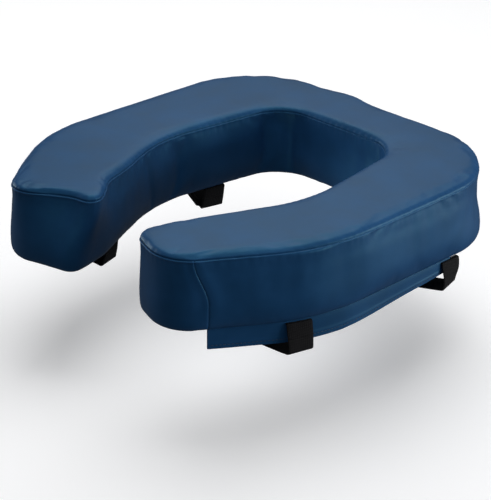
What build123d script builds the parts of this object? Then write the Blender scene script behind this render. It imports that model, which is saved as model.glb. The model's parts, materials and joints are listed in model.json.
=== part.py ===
from build123d import *
import os

# Padded raised toilet seat: a horseshoe of foam in a sewn vinyl cover. It lies on the toilet's own
# seat ring. A short skirt hangs over each side of the ring, and four strap stations hold it on. At a
# station one strap hangs from the outer bottom seam and one from the inner bottom seam, and their
# tails close under the ring with hook and loop.
#
# Millimetres. +Z is up, +Y is the rear (tank side), and the open end faces -Y. The origin is on the
# underside at the middle of the rear band, so the seat ring's top is the plane z = 0. The plan is
# drawn about mid length, and the finished pieces move back by origin_shift_y.

# ---------------------------------------------------------------- driving dimensions
cushion_width = 356.0
cushion_length = 390.0
cushion_height = 74.0

cover_thickness = 1.0
foam_gap = 0.3
top_roll = 5.0
bottom_roll = 5.0
top_seam_drop = 5.0

skirt_thickness = 1.2
skirt_inset = 3.0
skirt_top_z = -0.2
skirt_front_drop = 17.5
skirt_middle_drop = 20.0
skirt_rear_drop = 11.0
skirt_front_y = -171.0
skirt_middle_y = -55.0
skirt_rear_y = 97.0

seat_ring_thickness = 23.0
strap_width = 25.0
strap_thickness = 1.4
strap_hinge_z = -1.0
strap_end_radius = 4.0
tail_root_gap = 1.2
outer_hinge_inset = 1.6
outer_fold_outset = {"front": 3.5, "rear": -1.0}  # out from the cushion's edge
inner_hinge_inset = 2.0
inner_fold_inset = 6.0
outer_tail_length = 80.0
inner_tail_length = 52.0

patch_width = 21.0
patch_length = 32.0
patch_thickness = 1.0
patch_end_margin = 2.0
hook_loop_gap = 0.1

# Where each station's straps leave the right arm's outer and inner edges.
strap_anchors = {
    "front": {"outer": (165.4, -100.0), "inner": (64.0, -105.0)},
    "rear": {"outer": (178.0, 93.0), "inner": (85.0, 50.0)},
}

# ---------------------------------------------------------------- derived sizes
half_width = cushion_width / 2
half_length = cushion_length / 2
opening_rear_y = 132.0
origin_shift_y = -(half_length + opening_rear_y) / 2
top_seam_z = cushion_height - top_seam_drop
inner_fold_z = -seat_ring_thickness - strap_thickness / 2
outer_fold_z = inner_fold_z - strap_thickness - 2 * patch_thickness - hook_loop_gap

# Right half of the plan as a polygon whose corners are rounded: (x, y, radius of the rounding).
plan_corners = [
    (half_width, half_length, 93.0),  # rear corner
    (half_width, -83.0, 190.0),  # side starts to turn in
    (102.0, -half_length - 9.0, 38.0),  # outer front corner
    (44.0, -181.0, 12.0),  # inner front corner
    (53.0, -140.0, 50.0),  # neck of the opening
    (100.0, -26.0, 140.0),  # widest part of the opening
    (78.0, opening_rear_y, 40.0),  # rear corner of the opening
]

# The inner side band holds everything within this half width, and both arms' front ends.
inner_band_half_width = 108.0
inner_band_rear_y = 165.0
far = 400.0


# ---------------------------------------------------------------- helpers
def plan(inset):
    """The horseshoe's plan as a face, moved in from its edge by inset (out if negative)."""
    right = plan_corners
    left = [(-x, y, radius) for x, y, radius in reversed(plan_corners)]
    corners = right + left
    outline = FilletPolyline(
        *[(x, y) for x, y, radius in corners],
        radius=[radius for x, y, radius in corners],
        close=True,
    )
    face = make_face(outline)
    if inset:
        face = offset(face, amount=-inset)
    return face


def cushion_block(inset):
    """The cushion's outside shape with its edges rolled, shrunk by inset on every side."""
    block = Pos(0, 0, inset) * extrude(plan(inset), cushion_height - 2 * inset)
    block = fillet(block.edges().group_by(Axis.Z)[-1], top_roll - inset)
    return fillet(block.edges().group_by(Axis.Z)[0], bottom_roll - inset)


def slab(low, high):
    """A box between two corner points."""
    size = [high[i] - low[i] for i in range(3)]
    centre = [(high[i] + low[i]) / 2 for i in range(3)]
    return Pos(*centre) * Box(*size)


def edge_frame(anchor, inset):
    """The point of the outline, moved in by inset, that is nearest to anchor, and its outward normal."""
    face = plan(inset).face()
    outline = face.outer_wire()
    point = outline.closest_points(Vector(*anchor, 0))[0]
    along = outline.tangent_at(outline.param_at_point(point))
    normal = Vector(along.Y, -along.X, 0).normalized()
    if face.is_inside(point + normal):
        normal = -normal
    return point, normal


def strap_layout(station):
    """Hinge and fold places of one right-hand station: points on the axes, and plan directions."""
    outer_top, outer_normal = edge_frame(strap_anchors[station]["outer"], outer_hinge_inset)
    inner_top, inner_normal = edge_frame(strap_anchors[station]["inner"], inner_hinge_inset)
    outer_fold = outer_top + outer_normal * (outer_hinge_inset + outer_fold_outset[station])
    inner_fold = inner_top - inner_normal * (inner_fold_inset - inner_hinge_inset)
    run = (outer_fold - inner_fold).normalized()
    return {
        "outer_hinge": outer_top + Vector(0, 0, strap_hinge_z),
        "outer_normal": outer_normal,
        "outer_fold": outer_fold + Vector(0, 0, outer_fold_z),
        "inner_hinge": inner_top + Vector(0, 0, strap_hinge_z),
        "inner_normal": inner_normal,
        "inner_fold": inner_fold + Vector(0, 0, inner_fold_z),
        "run": run,
    }


# ---------------------------------------------------------------- cushion
def cover_panels():
    """The four sewn pieces of the cover, meeting edge to edge at the seams."""
    shell = cushion_block(0) - cushion_block(cover_thickness)
    top_panel = shell & slab((-far, -far, top_seam_z), (far, far, cushion_height + 1))
    bottom_panel = shell & extrude(plan(bottom_roll), cover_thickness)
    sides = (shell & slab((-far, -far, -1), (far, far, top_seam_z))) - bottom_panel
    opening_zone = slab((-inner_band_half_width, -far, -1), (inner_band_half_width, inner_band_rear_y, far))
    front_ends = slab((-far, -far, -1), (far, skirt_front_y, far))
    inner_zone = opening_zone + front_ends
    return {
        "top_panel": top_panel,
        "bottom_panel": bottom_panel,
        "inner_side_band": sides & inner_zone,
        "outer_side_band": sides - inner_zone,
    }


def right_skirt():
    """The flap over the right side of the seat ring, shallower towards the rear."""
    depth = skirt_middle_drop + 1
    band = extrude(plan(skirt_inset), depth) - extrude(plan(skirt_inset + skirt_thickness), depth)
    profile = Plane.YZ * Polygon(
        (skirt_front_y, skirt_top_z),
        (skirt_front_y, -skirt_front_drop),
        (skirt_middle_y, -skirt_middle_drop),
        (skirt_rear_y, -skirt_rear_drop),
        (skirt_rear_y, skirt_top_z),
        align=None,
    )
    side_cut = Pos(inner_band_half_width, 0, 0) * extrude(profile, half_width, dir=(1, 0, 0))
    return (Pos(0, 0, -depth) * band) & side_cut


# ---------------------------------------------------------------- straps
def strap_section(centre, facing, z):
    """The webbing's cross-section at height z, its flat side turned towards facing."""
    place = Plane(origin=(centre.X, centre.Y, z), x_dir=facing, z_dir=(0, 0, 1))
    return place * Rectangle(strap_thickness, strap_width)


def hanging_strap(hinge, normal, fold, run):
    """Webbing from the seam down to the fold, turning from the seam's direction to the run's."""
    top = strap_section(hinge, normal, hinge.Z + strap_thickness / 2)
    bottom = strap_section(fold, run, fold.Z - strap_thickness / 2)
    return loft([bottom, top], ruled=True)


def strip(fold, direction, start, end, width, thickness, z):
    """A flat strip from start to end along direction, centred on height z, its far corners rounded."""
    place = Plane(origin=(fold.X, fold.Y, z - thickness / 2), x_dir=direction, z_dir=(0, 0, 1))
    outline = Pos((start + end) / 2, 0) * Rectangle(end - start, width)
    far_corners = outline.vertices().group_by(Axis.X)[-1]
    return place * extrude(fillet(far_corners, strap_end_radius), thickness)


def station_parts(station):
    """The six pieces of one right-hand strap station."""
    layout = strap_layout(station)
    run = layout["run"]
    outer_fold = layout["outer_fold"]
    inner_fold = layout["inner_fold"]
    patch_offset = (strap_thickness + patch_thickness) / 2
    hook_end = outer_tail_length - patch_end_margin
    loop_end = inner_tail_length - patch_end_margin
    return {
        "outer_strap": hanging_strap(layout["outer_hinge"], layout["outer_normal"], outer_fold, run),
        "inner_strap": hanging_strap(layout["inner_hinge"], -layout["inner_normal"], inner_fold, run),
        "outer_tail": strip(
            outer_fold, -run, tail_root_gap, outer_tail_length, strap_width, strap_thickness, outer_fold_z
        ),
        "inner_tail": strip(
            inner_fold, run, tail_root_gap, inner_tail_length, strap_width, strap_thickness, inner_fold_z
        ),
        "hook_patch": strip(
            outer_fold, -run, hook_end - patch_length, hook_end,
            patch_width, patch_thickness, outer_fold_z + patch_offset,
        ),
        "loop_patch": strip(
            inner_fold, run, loop_end - patch_length, loop_end,
            patch_width, patch_thickness, inner_fold_z - patch_offset,
        ),
    }


# ---------------------------------------------------------------- assembly
def all_parts():
    """Every piece by its node name; the left side mirrors the right."""
    parts = {"foam_core": cushion_block(cover_thickness + foam_gap)}
    parts.update(cover_panels())
    one_sided = {"skirt": right_skirt()}
    for station in strap_anchors:
        for name, piece in station_parts(station).items():
            one_sided[f"{station}_{name}"] = piece
    for name, piece in one_sided.items():
        parts[f"right_{name}"] = piece
        parts[f"left_{name}"] = mirror(piece, about=Plane.YZ)
    return {name: Pos(0, origin_shift_y, 0) * piece for name, piece in parts.items()}


if __name__ == "__main__":
    os.makedirs("parts", exist_ok=True)
    for node, piece in all_parts().items():
        export_step(piece, f"parts/{node}.step")
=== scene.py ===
import json
import math
import bpy
import numpy as np
from mathutils import Matrix, Vector, geometry


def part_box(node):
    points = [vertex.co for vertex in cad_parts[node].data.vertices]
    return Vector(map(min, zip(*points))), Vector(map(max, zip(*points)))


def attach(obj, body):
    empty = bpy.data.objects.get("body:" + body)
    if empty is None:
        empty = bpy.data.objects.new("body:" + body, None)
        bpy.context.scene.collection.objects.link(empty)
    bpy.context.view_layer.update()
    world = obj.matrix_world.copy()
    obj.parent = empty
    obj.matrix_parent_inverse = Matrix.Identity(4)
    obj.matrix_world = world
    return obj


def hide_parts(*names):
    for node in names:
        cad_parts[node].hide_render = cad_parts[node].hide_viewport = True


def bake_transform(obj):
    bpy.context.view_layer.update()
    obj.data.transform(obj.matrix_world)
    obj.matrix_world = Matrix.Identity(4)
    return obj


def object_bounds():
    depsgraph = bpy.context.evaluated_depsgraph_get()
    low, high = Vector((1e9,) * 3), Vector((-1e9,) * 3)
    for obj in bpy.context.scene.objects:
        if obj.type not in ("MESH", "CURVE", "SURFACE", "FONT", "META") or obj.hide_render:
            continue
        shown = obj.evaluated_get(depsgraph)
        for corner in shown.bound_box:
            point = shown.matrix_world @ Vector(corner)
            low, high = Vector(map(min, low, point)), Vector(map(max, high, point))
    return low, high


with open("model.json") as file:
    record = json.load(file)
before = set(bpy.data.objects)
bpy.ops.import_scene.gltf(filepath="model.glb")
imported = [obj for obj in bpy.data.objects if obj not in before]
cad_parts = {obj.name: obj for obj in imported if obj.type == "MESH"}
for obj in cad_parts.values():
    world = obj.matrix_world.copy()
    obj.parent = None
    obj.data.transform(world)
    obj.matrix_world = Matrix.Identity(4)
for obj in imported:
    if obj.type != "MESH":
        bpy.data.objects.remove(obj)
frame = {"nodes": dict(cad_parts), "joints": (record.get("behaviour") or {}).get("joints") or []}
cad_low, cad_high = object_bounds()

# Padded raised toilet seat. Metres; +Y is the rear, the open end faces -Y, z = 0 is the underside.
# The cover is a structured mesh: rings that follow the horseshoe's outline, plus a filled top and
# underside. A cloth simulation pads it between its seams, then seams, puckers and creases are added,
# and the sewn panels are cut apart and given the vinyl's thickness.

MM = 0.001

# ---------------------------------------------------------------- sizes, from the frame
top_panel_low, top_panel_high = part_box("top_panel")
top_z = top_panel_high.z
top_seam_z = top_panel_low.z
half_width = top_panel_high.x
half_length = (top_panel_high.y - top_panel_low.y) / 2
middle_y = (top_panel_high.y + top_panel_low.y) / 2
skirt_low, skirt_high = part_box("right_skirt")
band_front_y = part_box("outer_side_band")[0].y
joints = {joint["name"]: joint for joint in frame["joints"]}

# ---------------------------------------------------------------- sizes of the soft details
cover_thickness = 1.0 * MM
column_spacing = 3.4 * MM
fill_spacing = 5.0 * MM
fill_inset = 10.5 * MM
roll = top_z - top_seam_z
bottom_seam_inset = 5.2 * MM
foam_clearance = 3.0 * MM
join_lean = 13 * MM
skirt_tuck = 1.4 * MM
skirt_middle_y = -55 * MM  # from the middle
skirt_drops = 17.5 * MM, -skirt_low.z, 11 * MM  # front, middle and rear
skirt_stitch_share = 0.82  # of the way down the skirt
strap_bow = 0.4 * MM  # how far an inner strap's middle stands out
outer_strap_bows = {"front": 0.5 * MM, "rear": 1.2 * MM}
tail_reach = 82 * MM  # how far a strap's tail hangs below its fold
floor_size = 6.0

# The plan as a polygon with rounded corners: (x, y from the middle, radius). The stuffing has
# settled unevenly, and the left arm lies a little fuller towards the front than the right one.
right_corners = [
    (half_width, half_length, 93 * MM),  # rear corner
    (half_width, -83 * MM, 190 * MM),  # side starts to turn in
    (102 * MM, -half_length - 9 * MM, 38 * MM),  # outer front corner
    (43 * MM, -182 * MM, 19 * MM),  # inner front corner
    (53 * MM, -140 * MM, 50 * MM),  # neck of the opening
    (100 * MM, -26 * MM, 140 * MM),  # widest part of the opening
    (78 * MM, 132 * MM, 40 * MM),  # rear corner of the opening
]
left_corners = [
    (-77 * MM, 132 * MM, 40 * MM),
    (-98 * MM, -24 * MM, 150 * MM),
    (-46 * MM, -140 * MM, 60 * MM),
    (-36 * MM, -184 * MM, 13 * MM),
    (-109 * MM, -half_length - 9 * MM, 38 * MM),
    (-half_width - 3.5 * MM, -92 * MM, 150 * MM),
    (-half_width, half_length, 91 * MM),
]

# How the stuffing has settled. Down to the next section all is in millimetres, from the plan's middle.
opening_lean = 3.2  # top edge round the rear and left of the opening, out over the hole
left_foot_spread = 2.4  # foot of the left arm's inner wall, out into the opening
rear_lobe_x = -42  # middle of a soft lobe that stands out from the rear edge
rear_lobe_width = 24
rear_lobe_depth = 6.5
# Where the upper wall is pulled in or out: x, y, reach, amount, and the shares of the height where
# the pull starts and is full.
wall_leans = [
    (-62, -199, 24, -5.0, 0.15, 1.0),  # left arm's front end
    (-56, -126, 26, -4.5, 0.15, 1.0),  # left side of the opening's neck
    (152, 166, 55, -5.5, 0.05, 0.6),  # rear right corner
]
# Where the top slides: x, y, reach, and the slide along x and y.
corner_leans = [
    (-50, -180, 34, (8, 17)),  # left arm's inner front corner, back over the opening
    (-117, -181, 25, (5.5, -2)),  # left arm's outer front corner, inwards
]
# Creases in the wall: x, y, width, depth, and the stretch of wall height that each covers.
creases = [
    (163, 158, 3.0, 1.6, 8, 70),
    (173, 138, 3.5, 1.2, 16, 62),
    (148, 176, 4.0, 1.3, 22, 70),
    (-160, 160, 3.5, 1.3, 10, 68),
    (-172, 140, 4.0, 1.1, 20, 60),
    (74, 122, 2.8, 1.6, 20, 72),
    (80, 108, 3.0, 1.1, 30, 70),
    (-74, 122, 3.0, 1.4, 18, 72),
    (56, 130, 3.0, 1.0, 34, 72),
]


# ---------------------------------------------------------------- small helpers
def smooth(low, high, value):
    """0 at low, 1 at high, level beyond both, and an S-shaped rise between; low may be the larger."""
    t = np.clip((value - low) / (high - low), 0, 1)
    return t * t * (3 - 2 * t)


def bump(value, centre, width):
    """A bell of height 1 at centre."""
    return np.exp(-(((value - centre) / width) ** 2))


def waves(position, length, seed):
    """Smooth irregular waves along one number, between about -1 and 1, of roughly this length."""
    random = np.random.default_rng(seed)
    total = np.zeros_like(position)
    for octave in range(5):
        pace = 2 * math.pi / length * random.uniform(0.6, 1.5)
        total += np.sin(position * pace + random.uniform(0, 2 * math.pi))
    return total / 3.2


def ripples(points, length, seed):
    """Smooth irregular waves through space, between about -1 and 1, of roughly this length."""
    random = np.random.default_rng(seed)
    total = np.zeros(len(points))
    for octave in range(9):
        direction = random.normal(size=3)
        direction *= 2 * math.pi / length * random.uniform(0.6, 1.4) / np.linalg.norm(direction)
        total += np.sin(points @ direction + random.uniform(0, 2 * math.pi))
    return total / 4.2


def distance_along(path):
    """How far each point of a path lies from its start, measured along the path."""
    steps = np.linalg.norm(np.diff(path, axis=0), axis=1)
    return np.concatenate([[0], np.cumsum(steps)])


def sample(rows, travel, spots):
    """Rows of values, given at the distances travel, read off at the distances spots."""
    return np.column_stack([np.interp(spots, travel, column) for column in rows.T])


def new_object(name, points, faces, material):
    """A smooth-shaded mesh object in the scene."""
    mesh = bpy.data.meshes.new(name)
    mesh.from_pydata([tuple(map(float, p)) for p in points], [], [tuple(map(int, f)) for f in faces])
    mesh.validate()
    mesh.shade_smooth()
    obj = bpy.data.objects.new(name, mesh)
    bpy.context.scene.collection.objects.link(obj)
    if material:
        mesh.materials.append(material)
    return obj


def vertex_array(mesh, what="co"):
    """Vertex positions or normals as an array of rows."""
    source = mesh.vertices if what == "co" else mesh.vertex_normals
    values = np.zeros(len(mesh.vertices) * 3, np.float32)
    source.foreach_get("co" if what == "co" else "vector", values)
    return values.reshape(-1, 3).astype(float)


def set_positions(mesh, points):
    """Moves a mesh's vertices to the given rows."""
    mesh.vertices.foreach_set("co", points.astype(np.float32).ravel())
    mesh.update()


# ---------------------------------------------------------------- materials
class Nodes:
    """Short way to build a procedural material: add nodes and link them by socket name or number."""

    def __init__(self, name):
        self.material = bpy.data.materials.new(name)
        self.material.use_nodes = True
        self.tree = self.material.node_tree
        self.surface = self.tree.nodes["Principled BSDF"]

    def add(self, kind, inputs=None, **settings):
        node = self.tree.nodes.new("ShaderNode" + kind)
        for key, value in settings.items():
            setattr(node, key, value)
        for key, value in (inputs or {}).items():
            self.feed(node, key, value)
        return node

    def feed(self, node, key, value):
        if isinstance(value, bpy.types.NodeSocket):
            self.tree.links.new(value, node.inputs[key])
        else:
            node.inputs[key].default_value = value

    def math(self, operation, a, b=0.0):
        return self.add("Math", {0: a, 1: b}, operation=operation).outputs[0]

    def share(self, a, part, b):
        """A sum that holds this part of a, and the rest of b."""
        return self.math("ADD", self.math("MULTIPLY", a, part), self.math("MULTIPLY", b, 1 - part))

    def noise(self, where, scale, detail=2.0, roughness=0.5):
        inputs = {"Vector": where, "Scale": scale, "Detail": detail, "Roughness": roughness}
        return self.add("TexNoise", inputs).outputs[0]

    def cells(self, where, scale, feature="F1"):
        return self.add("TexVoronoi", {"Vector": where, "Scale": scale}, feature=feature).outputs["Distance"]

    def ramp(self, value, stops):
        node = self.add("ValToRGB", {"Fac": value})
        elements = node.color_ramp.elements
        while len(elements) < len(stops):
            elements.new(0.5)
        for element, (place, colour) in zip(elements, stops):
            element.position = place
            element.color = (*colour, 1)
        return node.outputs["Color"]

    def mix(self, factor, a, b):
        node = self.add("Mix", data_type="RGBA")
        for key, value in ((0, factor), (6, a), (7, b)):
            if isinstance(value, tuple):
                value = (*value, 1)
            self.feed(node, key, value)
        return node.outputs[2]

    def bump(self, height, distance, strength):
        node = self.add("Bump", {"Height": height, "Distance": distance, "Strength": strength})
        return node.outputs[0]

    def finish(self, **inputs):
        """Sets the surface's inputs and returns the material."""
        for key, value in inputs.items():
            if isinstance(value, tuple):
                value = (*value, 1)
            self.feed(self.surface, key.replace("_", " "), value)
        return self.material


def vinyl(name, colour, roughness, shine):
    """Coated upholstery vinyl: fine pebble grain, faint mottling, and paler ridges at the seams that are
    partly wear and partly painted highlight.
    """
    m = Nodes(name)
    where = m.add("TexCoord").outputs["Object"]
    grain = m.cells(where, 1150.0, "SMOOTH_F1")
    pores = m.noise(where, 2400.0, 3.0, 0.6)
    mottle = m.noise(where, 26.0, 4.0, 0.55)
    cloud = m.noise(where, 7.0, 2.0)
    wear_and_highlight = m.add("Attribute", attribute_name="wear_and_highlight").outputs["Fac"]
    deep = tuple(c * 0.80 for c in colour)
    pale = tuple(min(1, c * 1.22 + 0.002) for c in colour)
    tone = m.ramp(m.share(mottle, 0.6, cloud), [(0.32, deep), (0.5, colour), (0.70, pale)])
    # Paler tone on the seam ridges and top roll: partly wear, partly a painted highlight where the turned
    # edge catches the light.
    worn_and_lit = tuple(min(1, c * 1.7 + 0.012) for c in colour)
    tone = m.mix(m.math("MULTIPLY", wear_and_highlight, m.math("ADD", 0.35, m.math("MULTIPLY", mottle, 0.5))), tone, worn_and_lit)
    rough = m.math("ADD", roughness - 0.06, m.math("MULTIPLY", mottle, 0.12))
    normal = m.bump(m.share(grain, 0.7, pores), 0.12 * MM, 0.35)
    return m.finish(Base_Color=tone, Roughness=rough, Normal=normal, Specular_IOR_Level=shine,
                    Specular_Tint=(0.12, 0.56, 0.66))


def foam():
    """Open-cell foam: cream, matt, small cells."""
    m = Nodes("foam")
    where = m.add("TexCoord").outputs["Object"]
    cells = m.cells(where, 700.0, "DISTANCE_TO_EDGE")
    tint = m.noise(where, 40.0, 3.0)
    tone = m.ramp(tint, [(0.3, (0.72, 0.64, 0.45)), (0.7, (0.84, 0.78, 0.62))])
    return m.finish(Base_Color=tone, Roughness=0.95, Normal=m.bump(cells, 0.6 * MM, 0.8))


def webbing():
    """Black polypropylene webbing: cross ribs in offset columns, with painted shade darkening the yarn in
    the hollows between the ribs, woven selvedges, a little dust.
    """
    m = Nodes("webbing")
    uv = m.add("SeparateXYZ", {"Vector": m.add("UVMap", uv_map="weave").outputs[0]})
    across, along = uv.outputs["X"], uv.outputs["Y"]
    column = m.math("DIVIDE", across, 1.9 * MM)
    offset = m.math("MULTIPLY", m.math("FLOORED_MODULO", m.math("FLOOR", column), 2.0), 0.5)
    rib = m.math("ADD", m.math("DIVIDE", along, 1.5 * MM), offset)
    rib_height = m.math("ABSOLUTE", m.math("SINE", m.math("MULTIPLY", rib, math.pi)))
    yarn = m.math("ABSOLUTE", m.math("SINE", m.math("MULTIPLY", column, math.pi)))
    height = m.math("MULTIPLY", rib_height, m.math("POWER", yarn, 0.5))
    where = m.add("TexCoord").outputs["Object"]
    fuzz = m.noise(where, 900.0, 4.0, 0.7)
    dust = m.noise(where, 120.0, 3.0)
    # The yarn's black is darker in the hollows between the ribs and lighter on their crowns: painted shade,
    # mixed with random fibre tone.
    rib_shaded_blacks = [(0.1, (0.001, 0.001, 0.0015)), (0.55, (0.004, 0.004, 0.005)), (0.95, (0.014, 0.014, 0.017))]
    tone = m.ramp(m.share(height, 0.65, fuzz), rib_shaded_blacks)
    tone = m.mix(m.math("MULTIPLY", dust, 0.05), tone, (0.07, 0.067, 0.065))
    normal = m.bump(m.math("ADD", height, m.math("MULTIPLY", fuzz, 0.25)), 0.35 * MM, 0.9)
    return m.finish(Base_Color=tone, Roughness=0.72, Normal=normal, Specular_IOR_Level=0.14,
                    Sheen_Weight=0.02, Sheen_Roughness=0.5)


def tape(name, scale, depth, colour):
    """Hook or loop tape: a dense field of small pile."""
    m = Nodes(name)
    where = m.add("TexCoord").outputs["Object"]
    pile = m.cells(where, scale)
    fuzz = m.noise(where, scale * 2.2, 4.0, 0.75)
    bright = tuple(min(1, c * 3 + 0.01) for c in colour)
    tone = m.ramp(m.math("MULTIPLY", pile, fuzz), [(0.05, colour), (0.6, bright)])
    height = m.math("ADD", m.math("SUBTRACT", 1.0, pile), m.math("MULTIPLY", fuzz, 0.6))
    return m.finish(Base_Color=tone, Roughness=0.85, Normal=m.bump(height, depth, 1.0), Sheen_Weight=0.3)


def thread(name, colour):
    """Twisted sewing thread."""
    m = Nodes(name)
    where = m.add("TexCoord").outputs["Object"]
    twist = m.noise(where, 3000.0, 2.0)
    tone = m.ramp(twist, [(0.3, tuple(c * 0.6 for c in colour)), (0.7, colour)])
    return m.finish(Base_Color=tone, Roughness=0.6, Normal=m.bump(twist, 0.2 * MM, 0.8), Sheen_Weight=0.2)


NAVY = (0.011, 0.055, 0.153)
vinyl_material = vinyl("navy_vinyl", NAVY, 0.44, 0.5)
underside_material = vinyl("underside_vinyl", tuple(c * 0.85 for c in NAVY), 0.6, 0.35)
foam_material = foam()
webbing_material = webbing()
hook_material = tape("hook_tape", 900.0, 0.9 * MM, (0.008, 0.008, 0.009))
loop_material = tape("loop_tape", 1500.0, 0.6 * MM, (0.012, 0.012, 0.013))
navy_thread = thread("navy_thread", (0.018, 0.055, 0.12))
black_thread = thread("black_thread", (0.03, 0.03, 0.033))


# ---------------------------------------------------------------- the horseshoe's outline
def rounded_outline(corners, spacing):
    """Evenly spaced points of a rounded polygon with their outward normals and the distance along it."""
    points, normals = [], []
    for i, (x, y, radius) in enumerate(corners):
        corner = Vector((x, y))
        before = (corner - Vector(corners[i - 1][:2])).normalized()
        after = (Vector(corners[(i + 1) % len(corners)][:2]) - corner).normalized()
        turn = math.atan2(before.x * after.y - before.y * after.x, before.dot(after))
        side = 1 if turn > 0 else -1
        start = corner - before * radius * math.tan(abs(turn) / 2)
        centre = start + Vector((-before.y, before.x)) * side * radius
        steps = max(4, int(abs(turn) * radius / MM))
        for k in range(steps + 1):
            angle = math.atan2(before.y, before.x) + turn * k / steps
            left = Vector((-math.sin(angle), math.cos(angle)))
            points.append(centre - left * side * radius)
            normals.append(left)
    points = np.array(points + points[:1])
    normals = np.array(normals + normals[:1])
    travel = distance_along(points)
    count = int(round(travel[-1] / spacing))
    place = np.arange(count) * travel[-1] / count
    facing = sample(normals, travel, place)
    facing /= np.linalg.norm(facing, axis=1)[:, None]
    return sample(points, travel, place), facing, place, travel[-1]


outline, outline_normal, outline_place, outline_length = rounded_outline(
    right_corners + left_corners, column_spacing)
outline[:, 1] += middle_y
columns = len(outline)


def join_place(side):
    """Where along the outline the outer side band meets the band of one front end."""
    outside = outline[:, 0] * side > 60 * MM
    gap = np.where(outside, np.abs(outline[:, 1] - band_front_y), 1)
    return outline_place[np.argmin(gap)]


join_places = join_place(1), join_place(-1)


def ring(inset, z):
    """The outline moved in by inset, at height z."""
    flat = outline - outline_normal * inset
    return np.column_stack([flat, np.full(columns, z)])


def inside(points, loop):
    """Which 2-D points lie inside a closed loop."""
    x, y = points[:, 0], points[:, 1]
    result = np.zeros(len(points), bool)
    for a, b in zip(loop, np.roll(loop, -1, axis=0)):
        crosses = (a[1] > y) != (b[1] > y)
        if crosses.any():
            result ^= crosses & (x < (b[0] - a[0]) * (y - a[1]) / (b[1] - a[1] + 1e-15) + a[0])
    return result


def fill(loop):
    """Inner points and triangles that fill a closed loop; triangles count the loop's points first."""
    low, high = loop.min(0), loop.max(0)
    row_step = fill_spacing * math.sqrt(3) / 2
    grid = []
    for row, y in enumerate(np.arange(low[1], high[1], row_step)):
        shift = fill_spacing / 2 * (row % 2)
        grid += [(x, y) for x in np.arange(low[0] + shift, high[0], fill_spacing)]
    grid = np.array(grid)
    grid = grid[inside(grid, loop)]
    gap = np.array([np.min(np.hypot(*(loop - point).T)) for point in grid])
    grid = grid[gap > fill_spacing * 0.6]
    points = [Vector(p) for p in np.concatenate([loop, grid])]
    edges = [(i, (i + 1) % len(loop)) for i in range(len(loop))]
    made = geometry.delaunay_2d_cdt(points, edges, [], 1, 1e-7)
    triangles = [[made[3][v][0] for v in triangle] for triangle in made[2]]
    return grid, triangles


# ---------------------------------------------------------------- cushion surface
underside_zone, outer_zone, top_zone, inner_zone = range(4)  # the cover's four sewn panels


def cushion_profile():
    """Rings from the underside, up the wall and over the top roll: (inset, z)."""
    underside = [(8.0, 0.0), (6.4, 0.05), (bottom_seam_inset / MM, 0.45)]
    lower_roll = [(4.0, 0.75), (2.5, 1.7), (1.2, 3.3), (0.4, 5.8)]
    rings = [(fill_inset, 0.0)]
    rings += [(inset * MM, z * MM) for inset, z in underside + lower_roll]
    rings += [(0.0, z) for z in np.linspace(9.5 * MM, top_seam_z - 7.0 * MM, 11)]
    rings += [(0.0, top_seam_z - drop * MM) for drop in (4.4, 2.7, 1.7, 1.0, 0.45)]
    rings.append((0.1 * MM, top_seam_z))
    for angle in np.radians([7, 15, 26, 40, 56, 73, 90]):
        rings.append((roll * (1 - math.cos(angle)) + 0.1 * MM, top_seam_z + roll * math.sin(angle)))
    rings.append((7.5 * MM, top_z))
    rings.append((fill_inset, top_z))
    return rings


def surface(profile):
    """Points and faces of the closed horseshoe: rings, then the filled underside and top."""
    rows = [ring(inset, z) for inset, z in profile]
    points = np.concatenate(rows)
    faces, zone = [], []
    for i in range(len(rows) - 1):
        for j in range(columns):
            k = (j + 1) % columns
            faces.append((i * columns + j, (i + 1) * columns + j, (i + 1) * columns + k, i * columns + k))
            zone.append(i)
    for row, flip in ((0, True), (len(rows) - 1, False)):
        extra, triangles = fill(rows[row][:, :2])
        height = np.full(len(extra), rows[row][0, 2])
        first = len(points)
        points = np.concatenate([points, np.column_stack([extra, height])])
        for triangle in triangles:
            own = [row * columns + v if v < columns else first + v - columns for v in triangle]
            faces.append(own[::-1] if flip else own)
            zone.append(-1 if flip else len(rows))
    return points, faces, zone


def nearest_column(points):
    """For points inside the outline: the nearest outline column, and how far away it is."""
    gaps = np.array([np.hypot(*(outline - point[:2]).T) for point in points])
    return gaps.argmin(1), gaps.min(1)


def simulate(obj, pinned, pressure, growth, limits):
    """Pads the mesh by cloth simulation between its pinned seams, then limits how far points moved."""
    rest = vertex_array(obj.data)
    group = obj.vertex_groups.new(name="pins")
    group.add([int(i) for i in pinned], 1.0, "REPLACE")
    cloth = obj.modifiers.new("padding", "CLOTH")
    settings = cloth.settings
    settings.quality = 5
    settings.mass = 0.2
    settings.tension_stiffness = 25
    settings.compression_stiffness = 25
    settings.shear_stiffness = 12
    settings.bending_stiffness = 2.0
    settings.use_pressure = True
    settings.uniform_pressure_force = pressure
    settings.shrink_min = -growth
    settings.vertex_group_mass = "pins"
    settings.effector_weights.gravity = 0
    cloth.collision_settings.use_collision = False
    scene = bpy.context.scene
    for step in range(1, 21):
        scene.frame_set(step)
    evaluated = obj.evaluated_get(bpy.context.evaluated_depsgraph_get())
    moved = vertex_array(evaluated.data) - rest
    obj.modifiers.remove(cloth)
    scene.frame_set(1)
    distance = np.linalg.norm(moved, axis=1)
    share = limits * np.tanh(distance / limits) / np.maximum(distance, 1e-9)
    set_positions(obj.data, rest + moved * share[:, None])
    print("cloth moved points by up to", round(distance.max() / MM, 2), "mm")


def store(mesh, name, values):
    """Keeps one number per vertex on the mesh."""
    attribute = mesh.attributes.get(name) or mesh.attributes.new(name, "FLOAT", "POINT")
    attribute.data.foreach_set("value", np.asarray(values, np.float32))


def stored(mesh, name):
    """The numbers kept by store."""
    values = np.zeros(len(mesh.vertices), np.float32)
    mesh.attributes[name].data.foreach_get("value", values)
    return values.astype(float)


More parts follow.
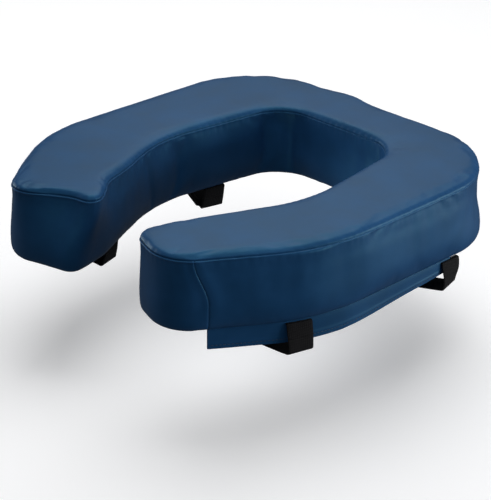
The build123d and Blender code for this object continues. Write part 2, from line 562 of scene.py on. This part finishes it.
def cushion_base():
    """The padded horseshoe before its small details, with its seam distances stored on the points."""
    profile = cushion_profile()
    points, faces, zone = surface(profile)
    body = new_object("cover", points, faces, None)
    travel = distance_along(np.array(profile))
    top_row = next(i for i, (inset, z) in enumerate(profile) if abs(z - top_seam_z) < 1e-6)
    bottom_row = next(i for i, (inset, z) in enumerate(profile) if abs(inset - bottom_seam_inset) < 1e-6)
    filling = points[len(profile) * columns:]
    nearest, gap = nearest_column(filling)
    beyond = np.where(filling[:, 2] > top_z / 2, travel[-1] + gap - fill_inset, fill_inset - gap)
    along = np.concatenate([np.repeat(travel, columns), beyond])
    column = np.concatenate([np.tile(np.arange(columns), len(profile)), nearest])
    angle = 2 * math.pi * outline_place[column] / outline_length
    store(body.data, "from_top_seam", along - travel[top_row])
    store(body.data, "from_bottom_seam", along - travel[bottom_row])
    store(body.data, "place_cos", np.cos(angle))
    store(body.data, "place_sin", np.sin(angle))
    zone = np.array(zone)
    panels = np.where(zone < bottom_row, underside_zone, np.where(zone < top_row, outer_zone, top_zone))
    body.data.polygons.foreach_set("material_index", panels.astype(np.int32))
    seam_points = [top_row * columns + j for j in range(columns)]
    under = np.nonzero(along <= travel[bottom_row] + 1e-9)[0]
    limits = np.where(along > travel[top_row], 1.1 * MM, 3.0 * MM)
    simulate(body, list(under) + seam_points, pressure=4.0, growth=0.003, limits=limits)
    refine = body.modifiers.new("refine", "SUBSURF")
    refine.levels = 1
    evaluated = body.evaluated_get(bpy.context.evaluated_depsgraph_get())
    fine = bpy.data.meshes.new_from_object(evaluated)
    body.modifiers.clear()
    body.data = fine
    return body


def along_outline(rows, place):
    """The outline's points or normals at any distance along it."""
    closed_place = np.append(outline_place, outline_length)
    return sample(np.vstack([rows, rows[:1]]), closed_place, place % outline_length)


def outline_facing(place):
    """The outline's outward unit normal at any distance along it."""
    facing = along_outline(outline_normal, place)
    return facing / np.linalg.norm(facing, axis=1)[:, None]


def lean_joins(points, place, column):
    """Slides the wall's upper half along the outline by each join, so that the join leans forward."""
    height = smooth(0.38, 1.0, points[:, 2] / top_seam_z)
    slide = np.zeros(len(points))
    for join, forward in zip(join_places, (1, -1)):
        slide += forward * join_lean * bump(place, join, 32 * MM) * height
    facing = outline_facing(place)
    stand_off = ((points[:, :2] - column) * facing).sum(1)
    slide *= smooth(-9 * MM, -2 * MM, stand_off)
    turn = outline_facing(place + slide) - facing
    shift = along_outline(outline, place + slide) - column + turn * stand_off[:, None]
    return points + np.column_stack([shift, np.zeros(len(points))])


def settle(points, place, at_wall):
    """How unevenly settled stuffing moves the wall along the outline's normal, and the top's corners."""
    across_x, along_y = points[:, 0] / MM, (points[:, 1] - middle_y) / MM
    height = points[:, 2] / top_z
    opening = (np.abs(across_x) < 112) & (along_y < 160)
    left_side = smooth(40, -30, across_x) * smooth(-192, -165, along_y)
    move = opening_lean * height * opening * np.maximum(left_side, smooth(95, 125, along_y))
    move += left_foot_spread * (1 - height) * opening * left_side
    for centre_x, centre_y, reach, amount, start, full in wall_leans:
        near = bump(np.hypot(across_x - centre_x, along_y - centre_y), 0, reach)
        move += amount * near * smooth(start, full, height)
    lobe = bump(across_x, rear_lobe_x, rear_lobe_width) * smooth(150, 195, along_y)
    move += rear_lobe_depth * lobe * smooth(0.1, 0.6, height)
    shift = outline_facing(place) * (move * at_wall * MM)[:, None]
    for centre_x, centre_y, reach, slide in corner_leans:
        near = bump(np.hypot(across_x - centre_x, along_y - centre_y), 0, reach)
        shift += np.outer(near * smooth(0.1, 1, height), slide) * MM
    return np.column_stack([shift, np.zeros(len(points))])


def seam_lift(top, bottom, place, front_end, crispness, pucker):
    """How far the seams move the surface in or out: top and bottom are the ways from the two seams."""
    # Top seam: a pressed line with the turned edge of the side band standing proud just below it.
    lift = -0.8 * crispness * bump(top, 0.3, 0.6)
    lift += (0.2 + 0.4 * front_end) * bump(top, -0.95, 0.75)
    lift += 0.15 * bump(top, 1.8, 1.0)
    # Bottom seam, tucked under.
    lift -= 0.6 * bump(bottom, 0, 0.9)
    # Puckers that the thread pulls into both sides of the top seam.
    pitch = 7.4 * MM
    drift = waves(place, 60 * MM, 3) * 1.6
    pull = np.maximum(0, np.sin(2 * math.pi * place / pitch + drift)) ** 2
    strength = (0.30 + 0.22 * waves(place, 85 * MM, 5)) * pucker
    reach = np.where(top > 0, bump(top, 2.2, 3.2), bump(top, -3.0, 4.5))
    return lift - np.clip(strength, 0.05, 1) * pull * reach


def wall_lift(top, bottom, place, across_x, along_y):
    """How far the wall between the seams is pushed in or out by its stuffing, folds and creases."""
    # A little hollow under the top seam, a swell lower down, and soft upright folds.
    lift = 0.8 * bump(bottom, 24, 16) - 0.5 * bump(top, -11, 8)
    folds = waves(place, 26 * MM, 11) * (0.22 + 0.18 * waves(place, 130 * MM, 12))
    lift += folds * bump(top, -22, 22)

    # A broad soft ridge up each side, where the wall starts to turn in towards the front.
    ridge = np.hypot(across_x - np.sign(across_x) * 171, along_y + 92)
    lift += 1.8 * bump(ridge, 0, 20) * smooth(0, 20, bottom)

    # Sharper creases where the vinyl bunches: the rear corners and the rear of the opening.
    for centre_x, centre_y, width, depth, low, high in creases:
        near = bump(np.hypot(across_x - centre_x, along_y - centre_y), 0, width)
        lift -= depth * near * smooth(0, 10, bottom - low) * smooth(0, 10, high - bottom)

    # The join of the outer wall and each front end: a groove between a soft hollow and a soft fold.
    for join, forward in zip(join_places, (1, -1)):
        past_join = (place - join) * forward / MM
        lift -= 0.3 * bump(past_join, 0, 1.0) * smooth(66, 30, bottom)
        lift -= 1.0 * bump(past_join, 6, 6) * smooth(12, 30, bottom)
        lift += 0.6 * bump(past_join, -6, 6) * smooth(12, 30, bottom)
    return lift * smooth(0, 6, bottom) * smooth(0, 3, -top)


def add_seams_and_creases(body):
    """Presses the seams in, adds puckers, folds and creases, and lets the stuffing settle."""
    mesh = body.data
    top = stored(mesh, "from_top_seam") / MM
    bottom = stored(mesh, "from_bottom_seam") / MM
    angle = np.arctan2(stored(mesh, "place_sin"), stored(mesh, "place_cos")) % (2 * math.pi)
    place = angle * outline_length / (2 * math.pi)
    column = along_outline(outline, place)
    set_positions(mesh, lean_joins(vertex_array(mesh), place, column))
    points = vertex_array(mesh)
    normals = vertex_array(mesh, "normal")
    across_x, along_y = column[:, 0] / MM, (column[:, 1] - middle_y) / MM

    # The top seam is crisp round the opening and at the front, and puckers most round the opening.
    inner = (np.abs(across_x) < 108) & (along_y < 165) & ~((along_y < -171) & (np.abs(across_x) > 50))
    front_end = smooth(-120, -165, along_y)
    crispness = np.where(inner, 0.75, 0.3 + 0.7 * smooth(10, -90, along_y))
    lift = seam_lift(top, bottom, place, front_end, crispness, pucker=np.where(inner, 1.9, 0.8))
    lift += wall_lift(top, bottom, place, across_x, along_y)
    # Slow unevenness everywhere, but for the seams.
    lift += 0.25 * ripples(points, 75 * MM, 21) * smooth(3, 12, np.abs(top)) * smooth(0, 8, bottom)
    points += normals * (lift * MM)[:, None]

    at_wall = smooth(-30, 6, bottom) * smooth(31, 4, top)
    set_positions(mesh, points + settle(points, place, at_wall))
    # Paler seam marks, partly wear and partly painted highlight: on the turned edge just below the top seam,
    # strongest at the front ends, and faintly on the top roll.
    wear_and_highlight = bump(top, -0.9, 0.8) * (0.15 + 0.75 * front_end) + bump(top, 5, 5) * 0.12
    store(mesh, "wear_and_highlight", np.clip(wear_and_highlight * (0.6 + 0.4 * waves(place, 40 * MM, 31)), 0, 1))


def cut_panels(body):
    """Cuts the cover into its sewn panels along the seams, and gives each the vinyl's thickness."""
    mesh = body.data
    points = vertex_array(mesh)
    place_cos, place_sin = stored(mesh, "place_cos"), stored(mesh, "place_sin")
    choices = {}
    for face in mesh.polygons:
        panel = face.material_index
        corners = list(face.vertices)
        if panel == outer_zone:
            angle = math.atan2(place_sin[corners].mean(), place_cos[corners].mean()) % (2 * math.pi)
            place = angle * outline_length / (2 * math.pi)
            if join_places[0] < place < join_places[1]:
                panel = inner_zone
        choices.setdefault(panel, []).append(corners)
    # The paler seam marks, partly wear and partly painted highlight, carried onto each panel.
    wear_and_highlight = stored(mesh, "wear_and_highlight")
    plans = [
        (underside_zone, "underside_cover", "bottom_panel", underside_material, "underside_vinyl"),
        (outer_zone, "outer_side_cover", "outer_side_band", vinyl_material, "navy_vinyl"),
        (inner_zone, "inner_side_cover", "inner_side_band", vinyl_material, "navy_vinyl"),
        (top_zone, "top_cover", "top_panel", vinyl_material, "navy_vinyl"),
    ]
    for panel, name, node, material, slot in plans:
        faces = choices[panel]
        used = sorted({v for face in faces for v in face})
        number = {v: i for i, v in enumerate(used)}
        piece = new_object(name, points[used], [[number[v] for v in face] for face in faces], material)
        store(piece.data, "wear_and_highlight", wear_and_highlight[used])
        shell = piece.modifiers.new("thickness", "SOLIDIFY")
        shell.thickness = cover_thickness
        shell.offset = -1
        shell.use_even_offset = False
        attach(piece, "cushion")
        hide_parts(node)
    bpy.data.objects.remove(body)


def make_foam():
    """The foam core, a little smaller than the cover that hides it."""
    inset = foam_clearance
    height = top_z - inset
    edge = roll - inset + 1 * MM
    profile = [(fill_inset, inset), (inset + 2 * MM, inset), (inset, inset + 2 * MM)]
    profile += [(inset, z) for z in np.linspace(inset + 8 * MM, height - edge, 8)]
    for angle in np.radians([20, 45, 70, 90]):
        profile.append((inset + edge * (1 - math.cos(angle)), height - edge + edge * math.sin(angle)))
    profile.append((fill_inset, height))
    points, faces, _ = surface(profile)
    nearest, gap = nearest_column(points)
    in_wall = smooth(36 * MM, 9 * MM, gap)
    points += settle(points, outline_place[nearest], in_wall)
    piece = new_object("foam_horseshoe", points, faces, foam_material)
    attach(piece, "cushion")
    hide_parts("foam_core")


# ---------------------------------------------------------------- stitches
def stitch_row(name, places, directions, ups, material, body, length=2.4 * MM, radius=0.24 * MM):
    """A row of short thread stitches, one at each place."""
    points, faces = [], []
    sides = 6
    rows = [(-0.5, 0.35), (-0.36, 0.95), (0.0, 1.1), (0.36, 0.95), (0.5, 0.35)]  # along, swell
    for place, direction, up in zip(places, directions, ups):
        direction = direction / np.linalg.norm(direction)
        across = np.cross(up, direction)
        across /= np.linalg.norm(across)
        up = np.cross(direction, across)
        first = len(points)
        for shift, swell in rows:
            for k in range(sides):
                angle = 2 * math.pi * k / sides
                offset = across * math.cos(angle) + up * math.sin(angle)
                points.append(place + direction * shift * length + offset * radius * swell)
        for i in range(len(rows) - 1):
            for k in range(sides):
                j = (k + 1) % sides
                a, b = first + i * sides, first + (i + 1) * sides
                faces.append((a + k, a + j, b + j, b + k))
        faces.append([first + k for k in reversed(range(sides))])
        faces.append([first + (len(rows) - 1) * sides + k for k in range(sides)])
    piece = new_object(name, points, faces, material)
    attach(piece, body)
    return piece


# ---------------------------------------------------------------- skirts
def make_skirt(side):
    """One hanging flap: follows the side of the outline, hemmed below, with slow waves in its lower edge."""
    name = "right" if side > 0 else "left"
    in_reach = (outline[:, 1] > skirt_low.y) & (outline[:, 1] < skirt_high.y)
    order = np.nonzero(in_reach & (outline[:, 0] * side > 100 * MM))[0]
    order = order[np.argsort(-outline[order, 1])]
    skirt_stations = skirt_low.y, skirt_middle_y + middle_y, skirt_high.y
    depth = np.interp(outline[order, 1], skirt_stations, skirt_drops)
    place = outline_place[order]
    down = [0, 0.06, 0.15, 0.27, 0.4, 0.53, 0.64, 0.70, 0.74, skirt_stitch_share, 0.90, 0.96, 1.0]
    points = []
    for fraction in down:
        inset = 3.8 - 0.3 * smooth(0, 0.22, fraction) - 0.4 * fraction
        wave = waves(place, 85 * MM, 51 + side) * 0.35 * fraction**1.5
        hem = 0.3 * smooth(0.66, 0.72, fraction)
        flat = outline[order] - outline_normal[order] * ((inset - wave - hem) * MM)[:, None]
        z = skirt_tuck - (depth + skirt_tuck) * fraction
        points.append(np.column_stack([flat, z]))
    count = len(order)
    faces = []
    for i in range(len(down) - 1):
        for j in range(count - 1):
            a = i * count + j
            quad = (a, a + 1, a + count + 1, a + count)
            faces.append(quad if side > 0 else quad[::-1])
    piece = new_object(f"{name}_skirt_flap", np.concatenate(points), faces, vinyl_material)
    refine = piece.modifiers.new("refine", "SUBSURF")
    refine.levels = refine.render_levels = 1
    shell = piece.modifiers.new("thickness", "SOLIDIFY")
    shell.thickness = cover_thickness * 1.2
    shell.offset = -1
    rim = piece.modifiers.new("rim", "BEVEL")
    rim.width = 0.35 * MM
    rim.segments = 2
    rim.angle_limit = math.radians(50)
    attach(piece, "cushion")
    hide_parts(f"{name}_skirt")

    # Lockstitch along the hem.
    line = points[down.index(skirt_stitch_share)]
    travel = distance_along(line)
    spots = np.arange(3 * MM, travel[-1] - 2 * MM, 3.6 * MM)
    places = sample(line, travel, spots)
    ahead = sample(line, travel, spots + 1 * MM)
    facing = np.column_stack([sample(outline_normal[order], travel, spots), np.zeros(len(spots))])
    stitch_row(f"{name}_skirt_hem_stitches", places + facing * 0.12 * MM, ahead - places, facing,
               navy_thread, "cushion")


# ---------------------------------------------------------------- webbing straps
def rounded_widths(width, end_gap, radius):
    """A strip's width at each point, less where the point is within a rounded corner of the end."""
    short = np.maximum(radius - end_gap, 0)
    return width - 2 * (radius - np.sqrt(radius**2 - short**2))


def ribbon(name, path, travel, width_way, widths, thickness, material):
    """A closed strap along a path: rounded selvedges, and a weave map in metres across and along."""
    across = np.array([-1, -0.975, -0.92, -0.5, 0, 0.5, 0.92, 0.975, 1])
    swell = np.array([0, 0.72, 1, 1, 1, 1, 1, 0.72, 0])
    section = list(zip(across, swell)) + list(zip(across[-2:0:-1], -swell[-2:0:-1]))
    tangent = np.gradient(path, axis=0)
    tangent /= np.linalg.norm(tangent, axis=1)[:, None]
    upward = np.cross(tangent, width_way)
    upward /= np.linalg.norm(upward, axis=1)[:, None]
    points, uvs = [], []
    for i in range(len(path)):
        for a, s in section:
            points.append(path[i] + width_way[i] * a * widths[i] / 2 + upward[i] * s * thickness / 2)
            uvs.append((a * widths[i] / 2, travel[i]))
    count = len(section)
    faces = []
    for i in range(len(path) - 1):
        for k in range(count):
            j = (k + 1) % count
            faces.append((i * count + k, (i + 1) * count + k, (i + 1) * count + j, i * count + j))
    faces.append(list(range(count)))
    faces.append([(len(path) - 1) * count + k for k in reversed(range(count))])
    piece = new_object(name, points, faces, material)
    layer = piece.data.uv_layers.new(name="weave")
    for loop in piece.data.loops:
        layer.data[loop.index].uv = uvs[loop.vertex_index]
    return piece


def turned(a, b, share):
    """Unit vectors in the plan that turn from a to b."""
    angle_a = math.atan2(a[1], a[0])
    swing = (math.atan2(b[1], b[0]) - angle_a + math.pi) % (2 * math.pi) - math.pi
    angle = angle_a + swing * share
    return np.column_stack([np.cos(angle), np.sin(angle), np.zeros(len(angle))])


UP = np.array([0.0, 0.0, 1.0])


def strap_frame(station, which):
    """Hinge point, fold point and the directions that the strap faces there, from the joints."""
    swing, fold = joints[f"{station}_{which}_swing"], joints[f"{station}_{which}_fold"]
    return {
        "hinge": np.array(swing["pos_m"]),
        "fold": np.array(fold["pos_m"]),
        "seam_facing": np.cross(UP, swing["axis"]),
        "run_facing": np.cross(UP, fold["axis"]),
    }


def strap_path(place, bow, tail_length):
    """Centre line: under the cover, over the seam, down with a bow, round the fold, along the tail.

    Also the numbers of the drop's first point and of the first point after the drop.
    """
    hinge, fold = place["hinge"], place["fold"]
    seam_facing, run_facing = place["seam_facing"], place["run_facing"]
    seam_lift_off = 0.22 * MM
    seam_radius = 1.2 * MM
    seam_turn = [hinge + UP * seam_lift_off - seam_facing * d * MM for d in (3.6, 2.6, 1.7)]
    seam_centre = hinge - seam_facing * seam_radius + UP * (seam_lift_off - seam_radius)
    for angle in np.radians([15, 35, 55, 75, 90]):
        around = seam_facing * math.sin(angle) + UP * math.cos(angle)
        seam_turn.append(seam_centre + around * seam_radius)

    corner = 2.6 * MM
    drop_start, drop_end = seam_turn[-1], fold + UP * corner
    drop = []
    for t in np.linspace(0, 1, 16)[1:]:
        line = drop_start + (drop_end - drop_start) * t
        outward = seam_facing * (1 - t) + run_facing * t
        drop.append(line + outward * bow * math.sin(math.pi * t) ** 1.2)

    turn_centre = fold + (UP - run_facing) * corner
    fold_turn = []
    for angle in np.radians([15, 30, 45, 60, 75, 90]):
        fold_turn.append(turn_centre + (run_facing * math.cos(angle) - UP * math.sin(angle)) * corner)
    tail = [fold - run_facing * d for d in np.linspace(corner, tail_length, 26)[1:]]
    path = np.array(seam_turn + drop + fold_turn + tail)
    return path, len(seam_turn), len(seam_turn) + len(drop)


def make_strap(station, which, bow):
    """One webbing strap from the seam, down past the seat ring, and turned under it."""
    place = strap_frame(station, which)
    hinge, fold = place["hinge"], place["fold"]
    seam_facing, run_facing = place["seam_facing"], place["run_facing"]
    node_points = vertex_array(frame["nodes"][f"{station}_{which}_tail"].data)
    low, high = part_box(f"{station}_{which}_tail")
    path, drop_start, drop_end = strap_path(place, bow, ((node_points - fold) @ -run_facing).max())
    travel = distance_along(path)

    # The webbing twists from the seam's direction to the tail's: a little in the drop, then at the fold.
    turn_in_drop = 0.5 if station.endswith("rear") and which == "outer" else 0.2
    share = turn_in_drop * smooth(travel[drop_start], travel[drop_end - 1], travel)
    share += (1 - turn_in_drop) * smooth(travel[drop_end - 2], travel[drop_end + 7] + 12 * MM, travel)
    width_way = np.cross(turned(seam_facing, run_facing, share), UP)
    widths = rounded_widths(strap_width, travel[-1] - travel, 4 * MM)

    # Two pieces that meet in the drop: one from the seam, the other round the fold.
    split = drop_start + 7
    strap_body, tail_body = f"{station}_{which}_strap", f"{station}_{which}_tail"
    pieces = [
        ("root", slice(0, split + 1), "cushion", strap_body,
         hinge - seam_facing * 1.6 * MM + UP * 1.0 * MM, hinge - UP * 3.4 * MM + seam_facing * 0.6 * MM),
        ("tail", slice(split, None), strap_body, tail_body, fold + UP * 7 * MM, fold - run_facing * 8 * MM),
    ]
    for part, rows, before, after, start, end in pieces:
        piece = ribbon(f"{station}_{which}_webbing_{part}", path[rows], travel[rows], width_way[rows],
                       widths[rows], high.z - low.z, webbing_material)
        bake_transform(piece)
        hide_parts(after)


def make_patch(station, which, kind, material):
    """Hook or loop tape sewn on a tail, with its stitches round the edge."""
    place = strap_frame(station, which)
    fold, run_facing = place["fold"], place["run_facing"]
    node = f"{station}_{kind}_patch"
    node_points = vertex_array(frame["nodes"][node].data)
    reach = (node_points - fold) @ -run_facing
    low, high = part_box(node)
    middle_z, thickness = (low.z + high.z) / 2, high.z - low.z
    way = np.cross(run_facing, UP)
    width = np.ptp((node_points - fold) @ way)
    stations = np.linspace(reach.min(), reach.max(), 15)
    travel = stations - stations[0]
    path = np.array([fold * (1, 1, 0) + UP * middle_z - run_facing * d for d in stations])
    widths = rounded_widths(width, np.minimum(travel, travel[-1] - travel), 2.5 * MM)
    ways = np.tile(way, (len(path), 1))
    piece = ribbon(f"{station}_{kind}_tape", path, travel, ways, widths, thickness, material)
    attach(piece, f"{station}_{which}_tail")
    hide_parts(node)

    # Stitches on the far side of the webbing, where the tape's sewing shows.
    tail_low, tail_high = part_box(f"{station}_{which}_tail")
    away = -UP if kind == "hook" else UP
    surface_z = tail_low.z if kind == "hook" else tail_high.z
    inset = 1.6 * MM
    near, far, half = reach.min() + inset, reach.max() - inset, width / 2 - inset
    places, directions = [], []
    corners = np.array([(near, -half), (far, -half), (far, half), (near, half)])
    for start, step in zip(corners, np.roll(corners, -1, axis=0) - corners):
        count = max(2, int(np.linalg.norm(step) / (3.2 * MM)))
        for k in range(count):
            spot = start + step * (k + 0.5) / count
            places.append(fold * (1, 1, 0) + UP * surface_z - run_facing * spot[0] + way * spot[1])
            directions.append(-run_facing * step[0] + way * step[1])
    stitch_row(f"{station}_{kind}_tape_stitches", places, directions, [away] * len(places), black_thread,
               f"{station}_{which}_tail", length=2.3 * MM, radius=0.22 * MM)


# ---------------------------------------------------------------- build the object
cover = cushion_base()
add_seams_and_creases(cover)
cut_panels(cover)
make_foam()
for side in (1, -1):
    make_skirt(side)
tail_points = vertex_array(frame["nodes"]["right_front_outer_tail"].data)
tail_way = np.array(joints["right_front_outer_fold"]["axis"])
strap_width = np.ptp(tail_points @ tail_way)
for station in ("right_front", "right_rear", "left_front", "left_rear"):
    make_strap(station, "outer", outer_strap_bows[station.split("_")[1]])
    make_strap(station, "inner", strap_bow)
    make_patch(station, "outer", "hook", hook_material)
    make_patch(station, "inner", "loop", loop_material)


# ---------------------------------------------------------------- floor, light and camera
def pale(name, colour, glow):
    """Matt pale floor with a faint glow of its own, so that it stays near white away from the lights."""
    m = Nodes(name)
    where = m.add("TexCoord").outputs["Object"]
    tone = m.mix(m.noise(where, 3.0, 3.0), colour, tuple(c * 0.985 for c in colour))
    return m.finish(Base_Color=tone, Roughness=0.8, Specular_IOR_Level=0.2, Emission_Color=tone,
                    Emission_Strength=glow)


def soft_light(name, place, target, size, power, spread=180):
    """A rectangular area light that the camera can't see, turned towards a target."""
    data = bpy.data.lights.new(name, "AREA")
    data.shape = "RECTANGLE"
    data.size, data.size_y = size
    data.energy = power
    data.spread = math.radians(spread)
    lamp = bpy.data.objects.new(name, data)
    lamp.location = place
    lamp.visible_camera = False
    lamp.rotation_mode = "QUATERNION"
    lamp.rotation_quaternion = (Vector(target) - Vector(place)).to_track_quat("-Z", "Y")
    bpy.context.scene.collection.objects.link(lamp)


def studio():
    """Pale floor just below the reach of the hanging straps, white surroundings and soft lights."""
    floor_z = cad_low.z - tail_reach
    corners = [(x * floor_size, y * floor_size, floor_z) for x, y in ((-1, -1), (1, -1), (1, 1), (-1, 1))]
    floor = new_object("floor", corners, [(0, 1, 2, 3)], pale("floor", (0.94, 0.94, 0.945), 0.22))
    floor.visible_diffuse = False
    floor.visible_glossy = False
    world = bpy.data.worlds.new("studio")
    bpy.context.scene.world = world
    world.use_nodes = True
    # The camera sees a white backdrop; the object is lit by a much dimmer one.
    tree = world.node_tree
    background = tree.nodes["Background"]
    background.inputs["Color"].default_value = (0.92, 0.95, 1.0, 1)
    seen = tree.nodes.new("ShaderNodeLightPath").outputs["Is Camera Ray"]
    strength = tree.nodes.new("ShaderNodeMapRange")
    strength.inputs["To Min"].default_value = 0.10
    strength.inputs["To Max"].default_value = 0.95
    tree.links.new(seen, strength.inputs["Value"])
    tree.links.new(strength.outputs["Result"], background.inputs["Strength"])
    middle = (0, middle_y, 0.03)
    soft_light("overhead_softbox", (-0.4, 0.45, 2.0), middle, (2.2, 2.2), 34)
    soft_light("near_softbox", (0.40, -0.45, 1.30), middle, (1.0, 1.0), 3)
    soft_light("rear_softbox", (-1.05, 1.05, 0.92), (0.10, middle_y, 0.07), (0.9, 0.5), 1.5)
    soft_light("right_softbox", (1.75, 1.05, 0.20), middle, (1.6, 0.6), 25)
    soft_light("left_softbox", (-1.9, -0.7, 0.35), middle, (0.9, 0.5), 9)
    soft_light("front_fill", (0.5, -1.9, 0.8), middle, (1.0, 0.8), 2.5)
    # Low, close lights stand for the pale things that the seat rests on and that lie beside it.
    soft_light("side_bounce", (0.60, 0.34, -0.05), (0.17, middle_y + 0.06, 0.03), (0.7, 0.22), 0.4)
    soft_light("opening_bounce", (0.03, middle_y - 0.03, -0.09), (0.13, middle_y + 0.14, 0.08),
               (0.10, 0.08), 0.08, spread=90)


def camera():
    """Looks down on the front right corner with a long lens."""
    azimuth = math.radians(43.6)
    elevation = math.radians(25.9)
    roll_angle = math.radians(1.4)
    distance = 1.576
    target = Vector((95.2, -97.9, 44.5)) * MM + Vector((0, middle_y, 0))
    level_back = Vector((math.sin(azimuth), -math.cos(azimuth), 0))
    back = level_back * math.cos(elevation) + Vector((0, 0, math.sin(elevation)))
    data = bpy.data.cameras.new("camera")
    data.lens = 129.6
    data.clip_start, data.clip_end = 0.05, 50
    viewer = bpy.data.objects.new("camera", data)
    viewer.rotation_mode = "QUATERNION"
    upright = (-back).to_track_quat("-Z", "Y").to_matrix()
    viewer.rotation_quaternion = (upright @ Matrix.Rotation(roll_angle, 3, "Z")).to_quaternion()
    viewer.location = target + back * distance
    bpy.context.scene.collection.objects.link(viewer)
    bpy.context.scene.camera = viewer


studio()
camera()
bpy.context.scene.view_settings.view_transform = "Standard"
